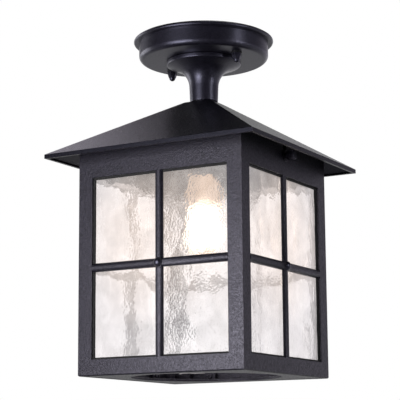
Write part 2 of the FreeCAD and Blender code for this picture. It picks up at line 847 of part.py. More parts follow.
def make_lamp():
    eyelet = new_body("lamp_eyelet")
    half_height = s.lamp_eyelet_height / 2
    revolve(eyelet, [
        (as_dim(0), insulator_top),
        (s.lamp_eyelet_radius, insulator_top),
        (s.lamp_eyelet_radius, insulator_top + half_height),
        (s.lamp_eyelet_radius / 2, lamp_top),
        (as_dim(0), lamp_top),
    ])
    insulator = new_body("lamp_insulator")
    revolve(insulator, [
        (as_dim(0), lamp_cap_top),
        (s.lamp_insulator_radius, lamp_cap_top),
        (s.lamp_eyelet_radius, insulator_top),
        (as_dim(0), insulator_top),
    ])
    cap = new_body("lamp_cap")
    radius, wall = s.lamp_cap_radius, s.lamp_cap_wall
    shoulder = lamp_cap_top - (radius - s.lamp_insulator_radius)
    revolve(cap, [
        (radius - wall, lamp_cap_foot),
        (radius, lamp_cap_foot),
        (radius, shoulder),
        (s.lamp_insulator_radius, lamp_cap_top),
        (s.lamp_insulator_radius - wall, lamp_cap_top),
        (radius - wall, shoulder - wall),
    ])
    envelope = new_body("lamp_envelope")
    bulb, neck, glass = s.bulb_radius, s.bulb_neck_radius, s.bulb_wall
    taper = bulb - neck
    flank = (s.bulb_drop * s.bulb_drop + taper * taper) / (taper * 2)
    neck_top = lamp_cap_foot + s.bulb_neck_length
    revolve(envelope, [
        (as_dim(0), bulb_centre - bulb, bulb),
        (bulb, bulb_centre, flank),
        (neck, lamp_cap_foot),
        (neck, neck_top),
        (neck - glass, neck_top),
        (neck - glass, lamp_cap_foot, -flank),
        (bulb - glass, bulb_centre, glass - bulb),
        (as_dim(0), bulb_centre - bulb + glass),
    ])


# Lantern


def make_panel(name, turns):
    """A mitred side with its window, glazing bars, crossing boss, screw bosses and base lugs."""
    body = new_body(f"{name}_panel", lantern_foot, turns)
    plan = new_sketch(body, "XY_Plane")
    draw_outline(plan, [
        (-outer_face, -outer_face),
        (outer_face, -outer_face),
        (inner_face, -inner_face),
        (-inner_face, -inner_face),
    ])
    extrude(body, "Pad", plan, s.panel_height)
    window_half = s.window_width / 2
    window = new_sketch(body, "XZ_Plane", outer_face)
    window_top = s.window_bottom + window_height
    draw_rectangle(window, -window_half, window_half, s.window_bottom, window_top)
    extrude(body, "Pocket", window, s.panel_thickness)

    base_half, nose_half = s.bar_width / 2, s.bar_nose / 2
    upright = new_sketch(body, "XY_Plane", s.window_bottom)
    draw_outline(upright, [
        (-nose_half, -outer_face),
        (nose_half, -outer_face),
        (base_half, -inner_face),
        (-base_half, -inner_face),
    ])
    extrude(body, "Pad", upright, window_height)
    crossbar = new_sketch(body, "YZ_Plane")
    draw_outline(crossbar, [
        (-outer_face, s.bar_height - nose_half),
        (-inner_face, s.bar_height - base_half),
        (-inner_face, s.bar_height + base_half),
        (-outer_face, s.bar_height + nose_half),
    ])
    extrude(body, "Pad", crossbar, s.window_width, both=True)

    screw_places = [
        (s.clip_offset * side, level) for side in (1, -1) for level in (low_boss, high_boss)
    ] + [(cleat_screw * side, cleat_middle) for side in (1, -1)]
    bosses = new_sketch(body, "XZ_Plane", inner_face)
    for place, level in screw_places:
        draw_circle(bosses, s.boss_radius, place, level)
    extrude(body, "Pad", bosses, s.glass_thickness, back=True)
    tappings = new_sketch(body, "XZ_Plane", glass_back)
    for place, level in screw_places:
        draw_circle(tappings, screw_pass, place, level)
    extrude(body, "Pocket", tappings, s.glass_thickness + s.screw_bite, back=True)

    lug_half = s.base_lug_width / 2
    lugs = new_sketch(body, "XY_Plane", base_top)
    for side in (1, -1):
        place = s.base_lug_offset * side
        draw_rectangle(lugs, place - lug_half, place + lug_half, -inner_face, s.base_lug_depth - inner_face)
    extrude(body, "Pad", lugs, glass_bottom - base_top)
    lug_holes = new_sketch(body, "XY_Plane", base_top)
    for side in (1, -1):
        draw_circle(lug_holes, screw_pass, s.base_lug_offset * side, s.base_lug_depth / 2 - inner_face)
    extrude(body, "Pocket", lug_holes, glass_bottom - base_top, back=True)

    if name in ("right", "left"):
        half_slot = s.thumb_radius + s.thumb_slot_clearance
        slot_level = thumb_level - lantern_foot
        slot = new_sketch(body, "XZ_Plane", outer_face)
        draw_outline(slot, [
            (as_dim(0), slot_level - half_slot, half_slot),
            (half_slot, slot_level),
            (half_slot, s.panel_height),
            (-half_slot, s.panel_height),
            (-half_slot, slot_level, half_slot),
        ])
        extrude(body, "Pocket", slot, s.panel_thickness)

    boss = new_sketch(body, "XZ_Plane", outer_face + s.crossing_proud)
    draw_circle(boss, s.crossing_radius, 0, s.bar_height)
    extrude(body, "Pad", boss, s.crossing_proud + s.panel_thickness, back=True)
    doc.recompute()
    round_edges(body, crossing_rim, s.crossing_round)
    doc.recompute()
    round_edges(body, front_foot, s.panel_edge_radius)


def crossing_rim(edge):
    """The outer rim of the boss where the glazing bars cross."""
    box = edge.BoundBox
    return box.YMax < -outer_face.value - s.crossing_proud.value / 2


def front_foot(edge):
    """The lower front edge of a panel."""
    box = edge.BoundBox
    on_face = abs(box.YMin + outer_face.value) < TOLERANCE and box.YLength < TOLERANCE
    return on_face and box.ZMax < s.base_recess.value


def round_edges(body, choice, radius):
    """Rounds the edges of the body's last feature that the choice picks, in the body's own frame."""
    base = body.Tip
    names = [f"Edge{number}" for number, edge in enumerate(base.Shape.Edges, start=1) if choice(edge)]
    fillet = body.newObject("PartDesign::Fillet", f"{body.Name}_fillet")
    fillet.Base = (base, names)
    tie(fillet, "Radius", radius)


def make_glass(name, turns):
    body = new_body(f"{name}_glass", lantern_foot, turns)
    pane = new_sketch(body, "XZ_Plane", inner_face)
    half = s.window_width / 2 + s.glass_overlap
    draw_rectangle(pane, -half, half, glass_bottom, glass_top)
    extrude(body, "Pad", pane, s.glass_thickness, back=True)


def make_clips():
    """Flat clips on the screw bosses, lapping over the glass edges, with their screws, on all sides."""
    clips = new_body("glass_clips", lantern_foot)
    faces = new_sketch(clips, "XZ_Plane", glass_back)
    half = s.clip_width / 2
    low_clip = (low_boss - s.boss_radius, glass_bottom + s.clip_lap)
    high_clip = (glass_top - s.clip_lap, high_boss + s.boss_radius)
    for side in (1, -1):
        place = s.clip_offset * side
        for boss, (low, high) in ((low_boss, low_clip), (high_boss, high_clip)):
            draw_rectangle(faces, place - half, place + half, low, high)
            draw_circle(faces, screw_pass, place, boss)
    plates = extrude(clips, "Pad", faces, s.clip_thickness, back=True)
    polar_pattern(clips, [plates], len(SIDES))
    places = [(s.clip_offset * side, level) for side in (1, -1) for level in (low_boss, high_boss)]
    make_pan_screws("glass_clip_screws", places, glass_back - s.clip_thickness, s.clip_thickness)


def make_pan_screws(label, places, face, grip):
    """Pan head screws from the inside into the panels' bosses, on all four sides."""
    body = new_body(label, lantern_foot)
    heads = new_sketch(body, "XZ_Plane", face)
    shanks = new_sketch(body, "XZ_Plane", face)
    for place, level in places:
        draw_circle(heads, s.screw_head_radius, place, level)
        draw_circle(shanks, s.screw_radius, place, level)
    head = extrude(body, "Pad", heads, s.screw_head_height, back=True)
    length = grip + s.glass_thickness + s.screw_bite - s.seat_clearance
    shank = extrude(body, "Pad", shanks, length)
    polar_pattern(body, [head, shank], len(SIDES))


def make_cleat(name, turns):
    """An angle inside a corner that ties two panels together above the glass."""
    body = new_body(f"{name}_cleat", lantern_foot, turns)
    section = new_sketch(body, "XY_Plane", cleat_top - s.cleat_height)
    draw_outline(section, [
        (glass_back, -glass_back),
        (glass_back, -cleat_end),
        (cleat_back, -cleat_end),
        (cleat_back, -cleat_back),
        (cleat_end, -cleat_back),
        (cleat_end, -glass_back),
    ])
    extrude(body, "Pad", section, s.cleat_height)
    near_hole = new_sketch(body, "XZ_Plane", glass_back)
    draw_circle(near_hole, screw_pass, cleat_screw, cleat_middle)
    extrude(body, "Pocket", near_hole, s.cleat_thickness)
    side_hole = new_sketch(body, "YZ_Plane", glass_back)
    draw_circle(side_hole, screw_pass, -cleat_screw, cleat_middle)
    extrude(body, "Pocket", side_hole, s.cleat_thickness)


def make_base():
    """The base plate with its round opening, and countersunk screws up into the panels' lugs."""
    body = new_body("base_plate", lantern_foot)
    plate = square(body, inner_face - s.slide_clearance, s.base_recess)
    extrude(body, "Pad", plate, s.base_thickness)
    opening = new_sketch(body, "XY_Plane", base_top)
    draw_circle(opening, s.base_opening_radius)
    extrude(body, "Pocket", opening, s.base_thickness)
    sink = s.screw_head_radius - s.screw_radius
    places = [(s.base_lug_offset * side, s.base_lug_depth / 2 - inner_face) for side in (1, -1)]
    cuts = []
    for place, depth in places:
        cuts += countersink(body, "Subtractive", place, depth, sink, s.thread_clearance)
    polar_pattern(body, cuts, len(SIDES))

    screws = new_body("base_plate_screws", lantern_foot)
    solids = []
    for place, depth in places:
        solids += countersink(screws, "Additive", place, depth, sink, as_dim(0))
    polar_pattern(screws, solids, len(SIDES))


def countersink(body, kind, place, depth, sink, clearance):
    """A countersunk head and its shank, as a screw or as the hole for one."""
    low = new_sketch(body, "XY_Plane", s.base_recess)
    draw_circle(low, s.screw_head_radius + clearance, place, depth)
    high = new_sketch(body, "XY_Plane", s.base_recess + sink)
    draw_circle(high, s.screw_radius + clearance, place, depth)
    head = loft(body, f"{kind}Loft", low, high)
    shank = new_sketch(body, "XY_Plane", s.base_recess + sink)
    draw_circle(shank, s.screw_radius + clearance, place, depth)
    if kind == "Subtractive":
        return [head, extrude(body, "Pocket", shank, s.base_thickness, back=True)]
    return [head, extrude(body, "Pad", shank, s.base_screw_length - sink)]


# Building order, from the ceiling down
make_rose()
make_gasket()
make_strap()
make_studs()
for finial, direction in (("right", 1), ("left", -1)):
    make_finial(finial, direction)
make_terminal_block()
make_earth_screw()
make_wires()
make_stem()
make_roof()
for thumbscrew, quarter in (("right", 0), ("left", 2)):
    make_thumbscrew(thumbscrew, quarter)
make_lampholder()
make_lamp()
for panel, quarter in SIDES.items():
    make_panel(panel, quarter)
    make_glass(panel, quarter)
make_clips()
for corner, quarter in CORNERS.items():
    make_cleat(corner, quarter)
cleat_places = [(cleat_screw * side, cleat_middle) for side in (1, -1)]
make_pan_screws("cleat_screws", cleat_places, cleat_back, s.cleat_thickness)
make_base()
doc.recompute()

# Every object has to be sound, every cut has to have cut, and only then are the pieces written
pieces = [piece for piece in doc.Objects if piece.TypeId in ("PartDesign::Body", "Part::Feature")]
faults = [item.Name for item in doc.Objects if {"Invalid", "Error"} & set(item.State)]
faults += [piece.Label for piece in pieces if piece.Shape.isNull() or not piece.Shape.isValid()]
for item in doc.Objects:
    if item.TypeId in ("PartDesign::Pocket", "PartDesign::SubtractiveLoft"):
        if item.Shape.Volume >= item.BaseFeature.Shape.Volume - TOLERANCE:
            faults.append(f"{item.Name} cuts nothing")
if faults:
    raise RuntimeError("unsound: " + ", ".join(faults))

os.makedirs("parts", exist_ok=True)
for piece in pieces:
    piece.Shape.exportStep(f"parts/{piece.Label}.step")
print(f"{len(pieces)} pieces written")
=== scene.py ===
import math

import bmesh
import bpy
from mathutils import Matrix, Vector, noise


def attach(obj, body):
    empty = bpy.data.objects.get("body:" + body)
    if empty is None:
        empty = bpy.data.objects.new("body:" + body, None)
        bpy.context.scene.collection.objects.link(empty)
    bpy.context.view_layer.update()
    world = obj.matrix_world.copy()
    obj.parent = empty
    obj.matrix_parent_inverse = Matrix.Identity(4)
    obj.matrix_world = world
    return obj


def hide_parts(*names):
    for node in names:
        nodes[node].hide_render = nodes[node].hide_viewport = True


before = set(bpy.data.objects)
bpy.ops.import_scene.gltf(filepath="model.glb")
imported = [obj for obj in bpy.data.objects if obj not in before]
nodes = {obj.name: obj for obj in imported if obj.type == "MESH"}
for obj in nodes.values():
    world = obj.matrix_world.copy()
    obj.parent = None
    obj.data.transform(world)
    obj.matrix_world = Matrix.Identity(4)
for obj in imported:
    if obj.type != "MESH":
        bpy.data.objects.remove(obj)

# Ceiling porch lantern. Its own sizes and places are in millimetres, as in the part, and Blender's in metres.
MM = 0.001
WHITE = (1, 1, 1, 1)
FULL_TURN = 2 * math.pi
QUARTERS = {"front": 0, "right": 1, "rear": 2, "left": 3}

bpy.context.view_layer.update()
scene = bpy.context.scene

# Driving sizes, as in the part

LANTERN_FACE = 85.0
PANEL_THICKNESS = 3.0
WINDOW_HALF = 70.5
WINDOW_LOW = -308.5
WINDOW_HIGH = -141.8
CROSSING_LEVEL = -225.2
GLASS_LAP = 5.0
GLASS_THICKNESS = 3.0
LAMP_NECK = -131.8
LAMP_FOOT = -212.8

GLASS_OUTER = LANTERN_FACE - PANEL_THICKNESS
GLASS_INNER = GLASS_OUTER - GLASS_THICKNESS
GLASS_HALF = WINDOW_HALF + GLASS_LAP
GLASS_LOW = WINDOW_LOW - GLASS_LAP
GLASS_HIGH = WINDOW_HIGH + GLASS_LAP


# Node trees


class NodeTree:
    """Makes and links the nodes of one tree."""

    def __init__(self, tree):
        self.tree = tree

    def add(self, kind, values=(), **settings):
        """A node with its settings made and its inputs set or linked."""
        node = self.tree.nodes.new(kind)
        for setting, value in settings.items():
            setattr(node, setting, value)
        for key, value in dict(values).items():
            self.feed(node.inputs[key], value)
        return node

    def feed(self, socket, value):
        """Links a socket to an output, or sets its value."""
        if isinstance(value, bpy.types.NodeSocket):
            self.tree.links.new(value, socket)
        else:
            socket.default_value = value

    def combine(self, operation, first, second):
        return self.add("ShaderNodeMath", {0: first, 1: second}, operation=operation).outputs[0]

    def ramp(self, factor, stops):
        """Colours along a factor, from (position, colour) pairs."""
        node = self.add("ShaderNodeValToRGB", {"Fac": factor})
        elements = node.color_ramp.elements
        while len(elements) < len(stops):
            elements.new(0.5)
        for element, (position, colour) in zip(elements, stops):
            element.position = position
            element.color = (*colour, 1)
        return node.outputs[0]

    def spread(self, factor, low, high, start=0.0, end=1.0):
        """A factor from start to end, taken to low and high."""
        values = {"Value": factor, "From Min": start, "From Max": end, "To Min": low, "To Max": high}
        return self.add("ShaderNodeMapRange", values).outputs[0]


class Surface(NodeTree):
    """A material with one Principled shader and textures in the object's own coordinates."""

    def __init__(self, name, **sockets):
        self.material = bpy.data.materials.new(name)
        self.material.use_nodes = True
        super().__init__(self.material.node_tree)
        self.shader = self.tree.nodes["Principled BSDF"]
        self.place = self.add("ShaderNodeTexCoord").outputs["Object"]
        self.set(**sockets)

    def set(self, **sockets):
        """Sets or links the shader's sockets, each named with underscores for spaces."""
        for socket, value in sockets.items():
            self.feed(self.shader.inputs[socket.replace("_", " ")], value)
        return self

    def stretched(self, scale):
        """The object's coordinates with each axis scaled by its own factor."""
        return self.add("ShaderNodeMapping", {"Vector": self.place, "Scale": scale}).outputs[0]

    def noise(self, scale, detail=2.0, roughness=0.5, place=None):
        values = {"Vector": place or self.place, "Scale": scale, "Detail": detail, "Roughness": roughness}
        return self.add("ShaderNodeTexNoise", values).outputs[0]

    def bump(self, height, distance, under=None):
        values = {"Height": height, "Distance": distance}
        if under is not None:
            values["Normal"] = under
        return self.add("ShaderNodeBump", values).outputs[0]


def scaled(parts, factor):
    """A colour or a point with all its parts times one factor."""
    return tuple(part * factor for part in parts)


# Coats, metals and plastics

COAT_TINT = (0.88, 0.84, 1.0, 1)
SATIN_TINT = (0.74, 0.73, 1.0, 1)
FLECK_DARK = (0.0018, 0.0016, 0.0032)
FLECK_LIGHT = (0.018, 0.0165, 0.026)
SPECK_SCALE, PEEL_SCALE, GRAIN_SCALE = 700, 420, 1250
GRAIN_HEIGHT = 0.0002


def powder_coat(name, grain, rough, light=1.0, tint=COAT_TINT, shine=0.5):
    """Black powder coat with an orange-peel skin, a fine grain and specks of lighter tone."""
    coat = Surface(name, Specular_IOR_Level=shine, Specular_Tint=tint)
    speck = coat.noise(SPECK_SCALE, 3, 0.65)
    peel = coat.bump(coat.noise(PEEL_SCALE), GRAIN_HEIGHT * grain)
    change = 0.02 + 0.1 * grain
    return coat.set(
        Base_Color=coat.ramp(speck, [(0.38, scaled(FLECK_DARK, light)), (0.64, scaled(FLECK_LIGHT, light))]),
        Roughness=coat.spread(speck, rough + change, rough - change, 0.34, 0.66),
        Normal=coat.bump(coat.noise(GRAIN_SCALE), GRAIN_HEIGHT * grain, peel),
    ).material


def plated_metal(name, colour, rough):
    """Bright metal with a faint spangle and fine scratches."""
    metal = Surface(name, Metallic=1.0)
    spangle = metal.noise(260, 3)
    scratch = metal.noise(900, place=metal.stretched((1, 1, 0.15)))
    return metal.set(
        Base_Color=metal.ramp(spangle, [(0.35, colour), (0.68, scaled(colour, 1.18))]),
        Roughness=metal.spread(spangle, rough + 0.08, rough - 0.06, 0.3, 0.7),
        Normal=metal.bump(scratch, 0.00003),
    ).material


def moulded(name, colour, rough):
    """A moulded plastic, ceramic or rubber with a matt grain and slight changes of tone."""
    plastic = Surface(name, Specular_IOR_Level=0.45)
    cloud = plastic.noise(60, 3)
    fine = plastic.noise(1300)
    return plastic.set(
        Base_Color=plastic.ramp(cloud, [(0.35, scaled(colour, 0.8)), (0.65, colour)]),
        Roughness=plastic.spread(fine, rough - 0.06, rough + 0.06, 0.3, 0.7),
        Normal=plastic.bump(fine, 0.00004),
    ).material


def striped_wire(name, first, second):
    """Two-colour insulation, its stripes running aslant."""
    wire = Surface(name, Roughness=0.42)
    values = {"Vector": wire.place, "Scale": 150.0, "Distortion": 0.4}
    wave = wire.add("ShaderNodeTexWave", values, bands_direction="DIAGONAL").outputs[1]
    return wire.set(
        Base_Color=wire.ramp(wave, [(0.47, first), (0.53, second)]),
        Normal=wire.bump(wire.noise(900), 0.00003),
    ).material


# Glass of the windows and of the lamp

GLASS_DARK, GLASS_PALE = (0.54, 0.528, 0.53), (0.645, 0.635, 0.64)
GLASS_SHINE = (0.22, 0.225, 0.23, 1)
CELL_SCALE = (38, 38, 29)
PEBBLE_SCALE = (540, 540, 490)
PEBBLE_HEIGHT = 0.00016
# Painted glow of lamplight scattered in the panes: its centre at the lamp, the distances over which its
# warmth fades, its strength far and near, and its colours
PAINTED_GLOW_CENTRE = (0, 0, -0.195)
PAINTED_GLOW_NEAR, PAINTED_GLOW_FAR = 0.08, 0.12
PAINTED_GLOW_LOW, PAINTED_GLOW_HIGH = 0.17, 0.225
PAINTED_GLOW_PLAIN, PAINTED_GLOW_WARM = (1.0, 0.96, 0.96), (1.0, 0.85, 0.75)


def clear_to_lamps(surface):
    """Lets the rays from lamps through glass, so that what is behind it is lit."""
    shadow = surface.add("ShaderNodeLightPath").outputs["Is Shadow Ray"]
    clear = surface.add("ShaderNodeBsdfTransparent").outputs[0]
    mix = surface.add("ShaderNodeMixShader", {0: shadow, 1: surface.shader.outputs[0], 2: clear})
    surface.feed(surface.tree.nodes["Material Output"].inputs["Surface"], mix.outputs[0])
    return surface.material


def water_glass():
    """Rolled glass in cells of slightly different tone, with a pebbled skin and a painted glow that stands in
    for lamplight scattered in it, warmer near the lamp.
    """
    glass = Surface("water_glass", Transmission_Weight=1.0, IOR=1.5, Specular_Tint=GLASS_SHINE)
    cells = {"Vector": glass.stretched(CELL_SCALE), "Scale": 1.0, "Smoothness": 0.3}
    cell = glass.add("ShaderNodeTexVoronoi", cells, feature="SMOOTH_F1").outputs["Color"]
    patch = glass.noise(42)
    pebble = glass.noise(1, 0, place=glass.stretched(PEBBLE_SCALE))
    pebbled = glass.combine("MULTIPLY", pebble, glass.spread(patch, 0.4, 1.0, 0.4, 0.6))
    # The panes glow everywhere, stronger and warmer near the lamp: painted light that stands in for lamplight
    # scattered in the glass
    reach = glass.add("ShaderNodeVectorMath", {0: glass.place, 1: PAINTED_GLOW_CENTRE}, operation="DISTANCE")
    painted_glow_nearness = glass.spread(reach.outputs["Value"], 1, 0, PAINTED_GLOW_NEAR, PAINTED_GLOW_FAR)
    painted_glow_mottle = glass.spread(glass.noise(80, 2, 0.6), 0.87, 1.13, 0.36, 0.64)
    glass.set(
        Base_Color=glass.ramp(cell, [(0.25, GLASS_DARK), (0.75, GLASS_PALE)]),
        Roughness=glass.spread(patch, 0.03, 0.08, 0.35, 0.65),
        Emission_Color=glass.ramp(painted_glow_nearness, [(0.0, PAINTED_GLOW_PLAIN), (1.0, PAINTED_GLOW_WARM)]),
        Emission_Strength=glass.combine("MULTIPLY", glass.spread(painted_glow_nearness, PAINTED_GLOW_LOW, PAINTED_GLOW_HIGH), painted_glow_mottle),
        Normal=glass.bump(pebbled, PEBBLE_HEIGHT),
    )
    return clear_to_lamps(glass)


LAMP_GLOW = 5.2
NECK_GLOW, TIP_GLOW = 0.19, 0.22
LAMP_PALE = (1.0, 0.86, 0.68)
LAMP_COLOURS = [(0.33, (1.0, 0.66, 0.42)), (0.45, LAMP_PALE), (0.85, LAMP_PALE), (1.0, (1.0, 0.72, 0.5))]
LAMP_SKIN = {"Coat_Weight": 1.0, "Coat_Roughness": 0.1, "Coat_IOR": 1.05, "Coat_Tint": (0.62, 0.61, 0.6, 1)}


def lamp_glass():
    """Pearl glass under a thin grey skin, brightest round the filament and dimmer at the neck and the tip."""
    lamp = Surface("lamp_glass", Roughness=0.35, **LAMP_SKIN)
    height = lamp.add("ShaderNodeSeparateXYZ", {"Vector": lamp.place}).outputs["Z"]
    share = lamp.spread(height, 0, 1, LAMP_NECK * MM, LAMP_FOOT * MM)
    neck = lamp.spread(share, LAMP_GLOW * NECK_GLOW, LAMP_GLOW, 0.33, 0.48)
    tip = lamp.spread(share, 1, TIP_GLOW, 0.86, 1.0)
    pearl = lamp.noise(300)
    return lamp.set(
        Base_Color=lamp.ramp(pearl, [(0.35, (0.42, 0.4, 0.37)), (0.65, (0.48, 0.46, 0.43))]),
        Emission_Color=lamp.ramp(share, LAMP_COLOURS),
        Emission_Strength=lamp.combine("MULTIPLY", neck, tip),
        Normal=lamp.bump(pearl, 0.00003),
    ).material


# Materials of the record's slots, and the coats of a few pieces

MATERIALS = {
    "powder_coat": powder_coat("powder_coat", 1.0, 0.39),
    "water_glass": water_glass(),
    "zinc_steel": plated_metal("zinc_steel", (0.56, 0.57, 0.58), 0.34),
    "black_screws": powder_coat("black_screws", 0.3, 0.3),
    "brass": plated_metal("brass", (0.72, 0.52, 0.24), 0.28),
    "rubber": moulded("rubber", (0.005, 0.0048, 0.006), 0.75),
    "holder_plastic": moulded("holder_plastic", (0.03, 0.029, 0.029), 0.4),
    "holder_ceramic": moulded("holder_ceramic", (0.82, 0.8, 0.76), 0.3),
    "block_plastic": moulded("block_plastic", (0.72, 0.7, 0.65), 0.45),
    "lamp_glass": lamp_glass(),
    "lamp_metal": plated_metal("lamp_metal", (0.74, 0.73, 0.7), 0.3),
    "lamp_insulation": moulded("lamp_insulation", (0.015, 0.014, 0.016), 0.2),
    "brown_wire": moulded("brown_wire", (0.16, 0.055, 0.02), 0.4),
    "blue_wire": moulded("blue_wire", (0.015, 0.09, 0.42), 0.4),
    "earth_wire": striped_wire("earth_wire", (0.05, 0.32, 0.06), (0.75, 0.6, 0.03)),
}
SATIN = powder_coat("satin_coat", 0.05, 0.34, 0.85, SATIN_TINT, 0.76)
FINISHES = {
    # The roof gets a darker, less shiny copy of the panels' powder coat: painted shade over the whole roof
    "roof": powder_coat("roof_coat_painted_shade", 0.4, 0.32, 0.3, SATIN_TINT, 0.28),
    "ceiling_rose": SATIN,
    "stem": SATIN,
    "right_finial_nut": SATIN,
    "left_finial_nut": SATIN,
    "right_thumbscrew": SATIN,
    "left_thumbscrew": SATIN,
}


def dress_nodes():
    """Gives every piece of the frame its node material in place of the plain one."""
    for name, node in nodes.items():
        for slot in node.material_slots:
            key = slot.material.name.split(".")[0]
            slot.material = FINISHES.get(name, MATERIALS[key])


# Soft edges on the frame's own pieces

EDGE_RADII = {
    1.4: ("roof",),
    0.8: ("stem",),
    0.7: ("ceiling_rose",),
    0.5: ("front_panel", "right_panel", "rear_panel", "left_panel", "base_plate", "terminal_block"),
    0.4: ("front_right_cleat", "rear_right_cleat", "rear_left_cleat", "front_left_cleat"),
    0.35: ("right_finial_nut", "left_finial_nut"),
    0.3: ("mounting_strap", "stud_locknuts", "nipple_top_nut", "nipple_roof_nut"),
    0.25: ("right_thumbscrew_washer", "left_thumbscrew_washer", "glass_clips"),
    0.2: ("right_thumbscrew", "left_thumbscrew"),
}
EDGE_SEGMENTS = 3
SHARP_ANGLE = math.radians(35)
WELD_REACH = 1e-6


def soften_edges():
    """Rounds the sharp edges of the cast and pressed pieces."""
    for radius, names in EDGE_RADII.items():
        for name in names:
            node = nodes[name]
            weld = node.modifiers.new("weld", "WELD")
            weld.merge_threshold = WELD_REACH
            bevel = node.modifiers.new("round", "BEVEL")
            bevel.width = radius * MM
            bevel.segments = EDGE_SEGMENTS
            bevel.limit_method = "ANGLE"
            bevel.angle_limit = SHARP_ANGLE
            normals = node.modifiers.new("normals", "WEIGHTED_NORMAL")
            normals.keep_sharp = False


# New pieces

JOIN_REACH = 1e-7


def add_piece(name, points, faces, material, body, replaced=(), crease=math.pi, finish=None):
    """A mesh, its points in millimetres, that rides on a body and stands for pieces of the frame."""
    mesh = bpy.data.meshes.new(name)
    mesh.from_pydata([scaled(point, MM) for point in points], [], faces)
    shell = bmesh.new()
    shell.from_mesh(mesh)
    bmesh.ops.remove_doubles(shell, verts=shell.verts, dist=JOIN_REACH)
    bmesh.ops.recalc_face_normals(shell, faces=shell.faces)
    shell.to_mesh(mesh)
    shell.free()
    mesh.polygons.foreach_set("use_smooth", [True] * len(mesh.polygons))
    mesh.set_sharp_from_angle(angle=crease)
    piece = bpy.data.objects.new(name, mesh)
    scene.collection.objects.link(piece)
    piece.data.materials.append(finish or MATERIALS[material])
    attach(piece, body)
    if replaced:
        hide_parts(*replaced)


def quads(rows, columns, first, closed=False, ring=False):
    """Faces over a grid of points, row by row, closed round the columns, and round the rows of a ring."""
    faces = []
    for row in range(rows if ring else rows - 1):
        below = (row + 1) % rows
        for column in range(columns if closed else columns - 1):
            after = (column + 1) % columns
            corners = ((row, column), (row, after), (below, after), (below, column))
            faces.append([first + line * columns + place for line, place in corners])
    return faces


def quarter_turn(quarter):
    return Matrix.Rotation(quarter * FULL_TURN / 4, 3, "Z")


# Panes

GLASS_STEP = 1.25
RIPPLE_BORDER = 7.0
FACET_WIDTH, FACET_HEIGHT, FACET_DEPTH = 19.0, 25.0, 0.98
SWELL_WIDTH, SWELL_HEIGHT, SWELL_DEPTH = 30.0, 44.0, 0.3
CRINKLE_WIDTH, CRINKLE_HEIGHT, CRINKLE_DEPTH = 3.8, 4.8, 0.1
SIDE_SEED, FACE_SEED, SWELL_SEED, CRINKLE_SEED = 31.0, 7.0, 3, 5


def ripple(across, up, seed):
    """How far a face of the glass dips at a place: broad facets, a slow swell and a small crinkle."""
    near = noise.voronoi(Vector((across / FACET_WIDTH, up / FACET_HEIGHT, seed)))[0][0]
    swell = noise.noise(Vector((across / SWELL_WIDTH, up / SWELL_HEIGHT, seed + SWELL_SEED)))
    crinkle = noise.noise(Vector((across / CRINKLE_WIDTH, up / CRINKLE_HEIGHT, seed + CRINKLE_SEED)))
    dip = FACET_DEPTH * min(near * near, 1)
    dip += SWELL_DEPTH * (1 + swell) / 2 + CRINKLE_DEPTH * (1 + crinkle) / 2
    edge = min(GLASS_HALF - abs(across), up - GLASS_LOW, GLASS_HIGH - up)
    return dip * min(max(edge / RIPPLE_BORDER, 0), 1)


def make_glass(side, quarter):
    """A rolled pane, both faces rippled between the planes of the flat one."""
    columns = round(2 * GLASS_HALF / GLASS_STEP) + 1
    rows = round((GLASS_HIGH - GLASS_LOW) / GLASS_STEP) + 1
    turn = quarter_turn(quarter)
    points = []
    for face in (0, 1):
        for row in range(rows):
            up = GLASS_LOW + (GLASS_HIGH - GLASS_LOW) * row / (rows - 1)
            for column in range(columns):
                across = GLASS_HALF * (2 * column / (columns - 1) - 1)
                dip = ripple(across, up, SIDE_SEED * quarter + FACE_SEED * face)
                depth = GLASS_INNER + dip if face else GLASS_OUTER - dip
                points.append(turn @ Vector((across, -depth, up)))
    back = rows * columns
    faces = quads(rows, columns, 0) + quads(rows, columns, back)
    rim = list(range(columns))
    rim += [row * columns + columns - 1 for row in range(1, rows)]
    rim += [(rows - 1) * columns + column for column in range(columns - 2, -1, -1)]
    rim += [row * columns for row in range(rows - 2, 0, -1)]
    for here, there in zip(rim, rim[1:] + rim[:1]):
        faces.append([there, here, back + here, back + there])
    add_piece(f"{side}_water_glass", points, faces, "water_glass", "lantern", [f"{side}_glass"])


# Dark rings round the windows, their section inward from the window's edge and outward from the glass

DARK_RING_SECTION = ((0, -1.1), (0, 1.3), (0.8, 1.2), (1.5, 0.7), (1.9, -0.1), (1.9, -1.1))
DARK_RING_CREASE = math.radians(50)


def make_dark_ring(side, quarter):
    """A black ring round a window's edge, between its frame and the glass."""
    turn = quarter_turn(quarter)
    points = []
    for inset, proud in DARK_RING_SECTION:
        half, low, high = WINDOW_HALF - inset, WINDOW_LOW + inset, WINDOW_HIGH - inset
        corners = ((-half, low), (half, low), (half, high), (-half, high))
        points += [turn @ Vector((across, -GLASS_OUTER - proud, up)) for across, up in corners]
    faces = quads(len(DARK_RING_SECTION), 4, 0, closed=True, ring=True)
    # A dark rubber ring that darkens the edge of each pane all round
    add_piece(f"{side}_dark_window_ring", points, faces, "rubber", "lantern", crease=DARK_RING_CREASE)


# Half-round skin of the bars, and the boss where they cross, its section by radius and outward from the face

BAR_HALF = 4.05
BAR_PROUD = 3.45
BAR_STEPS = 14
BAR_CREASE = math.radians(60)
ARMS = (
    ((1, 0), WINDOW_HALF),
    ((0, 1), WINDOW_HIGH - CROSSING_LEVEL),
    ((-1, 0), WINDOW_HALF),
    ((0, -1), CROSSING_LEVEL - WINDOW_LOW),
)
BOSS_STEPS = 40
BOSS_SECTION = (
    (3.5, -1.4), (4.1, -0.7), (4.3, 0.1), (4.2, 1.0),
    (3.8, 1.9), (3.0, 2.8), (1.9, 3.4), (0.6, 3.7),
)


